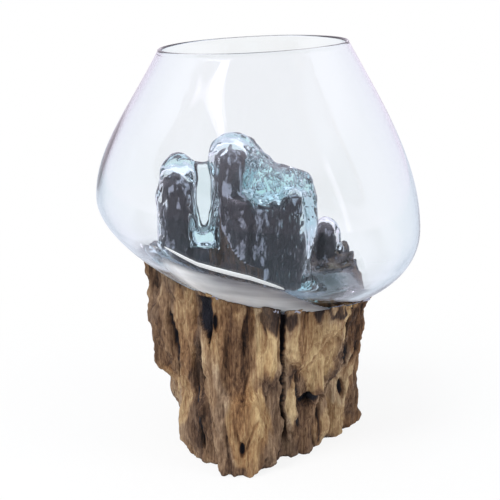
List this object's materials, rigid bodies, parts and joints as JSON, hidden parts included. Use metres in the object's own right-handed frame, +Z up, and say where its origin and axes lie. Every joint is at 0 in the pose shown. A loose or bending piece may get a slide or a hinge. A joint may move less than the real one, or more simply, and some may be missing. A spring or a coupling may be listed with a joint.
{
  "type": "glass bowl on wood base",
  "caption": "Blown glass bowl with a narrowed mouth, moulded over the charred prongs of a block of root wood that it stands on.",
  "frame": {"origin": "on the floor, under the middle of the bowl's widest ring", "axes": "+Z up, +X to the right and +Y away from someone who looks at the front"},
  "size_m": [0.222, 0.222, 0.2871],
  "materials": {
    "root_wood": "weathered bare root wood, charred black where it touched the hot glass",
    "blown_glass": "clear polished glass with a faint teal tint where it is thick"
  },
  "bodies": {
    "base": {"wood_base": "root_wood"},
    "bowl": {"glass_bowl": "blown_glass"}
  },
  "joints": [
    {"name": "bowl_lift", "type": "slide", "parent": "base", "child": "bowl", "axis": [0, 0, 1], "range_m": [0, 0.115]}
  ]
}
